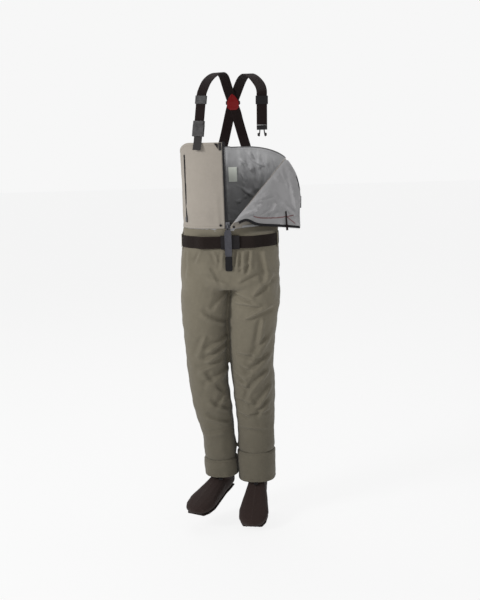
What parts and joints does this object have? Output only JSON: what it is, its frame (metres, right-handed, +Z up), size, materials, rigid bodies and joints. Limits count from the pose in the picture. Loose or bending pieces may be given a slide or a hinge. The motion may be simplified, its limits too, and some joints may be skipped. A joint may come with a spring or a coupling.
{
  "type": "chest waders",
  "caption": "Stocking-foot chest waders with a front zip, one front panel folded down, crossed suspenders, a waist belt, gravel guards and neoprene feet.",
  "frame": {"origin": "where the suspenders rest on the wearer's shoulders, on the front-to-back centre line", "axes": "+Z up along the standing body, -Y the front of the waders, +X the wearer's left"},
  "size_m": [0.4644, 0.3487, 1.7049],
  "materials": {
    "bib_fabric": "matt woven nylon",
    "lining_fabric": "matt tricot lining",
    "trouser_fabric": "matt woven nylon",
    "neoprene": "fabric-faced foam",
    "zip_tape": "woven tape",
    "zip_teeth": "moulded teeth",
    "slider_metal": "satin",
    "pull_grey": "smooth",
    "rubber": "matt",
    "yoke_red": "smooth",
    "label": "satin ribbon",
    "grey_webbing": "woven",
    "webbing": "woven elastic",
    "buckle": "satin moulding"
  },
  "bodies": {
    "waders": {"accessory_loop": "grey_webbing", "accessory_triangle": "buckle", "belt_loop_back": "trouser_fabric", "belt_loop_left": "trouser_fabric", "belt_loop_right": "trouser_fabric", "belt_socket": "buckle", "belt_webbing": "webbing", "bib_back": "lining_fabric", "bib_front_left": "bib_fabric", "bib_front_right": "bib_fabric", "care_label": "label", "foot_sole_left": "neoprene", "foot_sole_right": "neoprene", "foot_upper_left": "neoprene", "foot_upper_right": "neoprene", "gravel_guard_left": "trouser_fabric", "gravel_guard_right": "trouser_fabric", "guard_elastic_left": "grey_webbing", "guard_elastic_right": "grey_webbing", "hip_shell": "trouser_fabric", "lace_hook_left": "buckle", "lace_hook_right": "buckle", "leg_left": "trouser_fabric", "leg_right": "trouser_fabric", "pocket_zip_left": "zip_tape", "pocket_zip_right": "zip_tape", "snap_left": "buckle", "snap_right": "buckle", "strap_socket_right": "buckle", "strap_tab_right": "grey_webbing", "suspender_left": "webbing", "suspender_right": "webbing", "yoke_keeper": "buckle", "yoke_patch": "yoke_red", "zip_bottom_stop": "zip_teeth", "zip_chain_right": "zip_teeth", "zip_tape_right": "zip_tape"},
    "flap": {"flap_panel": "lining_fabric", "zip_tape_left": "zip_tape", "zip_chain_left": "zip_teeth", "pocket_zip_flap": "zip_tape", "flap_hanging_tab": "webbing", "flap_socket": "buckle", "flap_socket_tab": "grey_webbing"},
    "zip_slider_body": {"zip_slider": "slider_metal"},
    "zip_pull": {"zip_pull_tab": "pull_grey", "zip_pull_grip": "rubber"},
    "pocket_slider_right_body": {"pocket_slider_right": "slider_metal"},
    "pocket_slider_left_body": {"pocket_slider_left": "slider_metal"},
    "belt_insert_body": {"belt_insert": "buckle"},
    "belt_prong_upper_body": {"belt_prong_upper": "buckle"},
    "belt_prong_lower_body": {"belt_prong_lower": "buckle"},
    "adjuster_right_body": {"adjuster_right": "buckle"},
    "adjuster_left_body": {"adjuster_left": "buckle"},
    "strap_insert_body": {"strap_insert_right": "buckle"},
    "strap_prong_inner_body": {"strap_prong_right_inner": "buckle"},
    "strap_prong_outer_body": {"strap_prong_right_outer": "buckle"},
    "plug_body": {"strap_plug_left": "buckle"},
    "plug_prong_inner_body": {"strap_prong_left_inner": "buckle"},
    "plug_prong_outer_body": {"strap_prong_left_outer": "buckle"}
  },
  "joints": [
    {"name": "flap_fold", "type": "hinge", "parent": "waders", "child": "flap", "pos_m": [0.014, -0.134, -0.559], "axis": [-0.5901, -0.431, -0.6827], "range_deg": [0, 155]},
    {"name": "zip_slide", "type": "slide", "parent": "waders", "child": "zip_slider_body", "axis": [0, -0.0368, 0.9993], "range_m": [0, 0.27]},
    {"name": "pull_swing", "type": "hinge", "parent": "zip_slider_body", "child": "zip_pull", "pos_m": [0.003, -0.1336, -0.555], "axis": [-1, 0, 0], "range_deg": [0, 135]},
    {"name": "pocket_slide_right", "type": "slide", "parent": "waders", "child": "pocket_slider_right_body", "axis": [0, -0.0227, 0.9997], "range_m": [0, 0.2]},
    {"name": "pocket_slide_left", "type": "slide", "parent": "waders", "child": "pocket_slider_left_body", "axis": [0.1373, 0.0041, 0.9905], "range_m": [0, 0.1]},
    {"name": "belt_insert_slide", "type": "slide", "parent": "waders", "child": "belt_insert_body", "axis": [1, 0, 0], "range_m": [0, 0.03]},
    {"name": "belt_prong_upper_squeeze", "type": "hinge", "parent": "belt_insert_body", "child": "belt_prong_upper_body", "pos_m": [0.0167, -0.1223, -0.6041], "axis": [0, -1, 0], "range_deg": [0, 9], "stiffness_Nm_per_rad": 0.02},
    {"name": "belt_prong_lower_squeeze", "type": "hinge", "parent": "belt_insert_body", "child": "belt_prong_lower_body", "pos_m": [0.0167, -0.1223, -0.6319], "axis": [0, -1, 0], "range_deg": [-9, 0], "stiffness_Nm_per_rad": 0.02},
    {"name": "adjuster_right_slide", "type": "slide", "parent": "waders", "child": "adjuster_right_body", "axis": [-0.1028, -0.1543, -0.9827], "range_m": [0, 0.025]},
    {"name": "adjuster_left_slide", "type": "slide", "parent": "waders", "child": "adjuster_left_body", "axis": [-0.0178, -0.0889, -0.9959], "range_m": [0, 0.06]},
    {"name": "strap_insert_slide", "type": "slide", "parent": "waders", "child": "strap_insert_body", "axis": [0.1028, 0.1543, 0.9827], "range_m": [0, 0.028]},
    {"name": "strap_prong_inner_squeeze", "type": "hinge", "parent": "strap_insert_body", "child": "strap_prong_inner_body", "pos_m": [-0.09958, -0.11477, -0.18588], "axis": [-0.3051, -0.9354, 0.1788], "range_deg": [0, 9], "stiffness_Nm_per_rad": 0.02},
    {"name": "strap_prong_outer_squeeze", "type": "hinge", "parent": "strap_insert_body", "child": "strap_prong_outer_body", "pos_m": [-0.07932, -0.12158, -0.18693], "axis": [-0.3051, -0.9354, 0.1788], "range_deg": [-9, 0], "stiffness_Nm_per_rad": 0.02},
    {"name": "plug_swing", "type": "hinge", "parent": "waders", "child": "plug_body", "pos_m": [0.1389, -0.1135, -0.19858], "axis": [1, 0, 0], "range_deg": [-60, 60]},
    {"name": "plug_prong_inner_squeeze", "type": "hinge", "parent": "plug_body", "child": "plug_prong_inner_body", "pos_m": [0.1312, -0.1135, -0.21088], "axis": [0, -1, 0], "range_deg": [0, 9], "stiffness_Nm_per_rad": 0.02},
    {"name": "plug_prong_outer_squeeze", "type": "hinge", "parent": "plug_body", "child": "plug_prong_outer_body", "pos_m": [0.1466, -0.1135, -0.21088], "axis": [0, -1, 0], "range_deg": [-9, 0], "stiffness_Nm_per_rad": 0.02}
  ],
  "couplings": [
    {"joint": "belt_prong_lower_squeeze", "follows": "belt_prong_upper_squeeze", "ratio": -1},
    {"joint": "strap_prong_outer_squeeze", "follows": "strap_prong_inner_squeeze", "ratio": -1},
    {"joint": "plug_prong_outer_squeeze", "follows": "plug_prong_inner_squeeze", "ratio": -1}
  ]
}
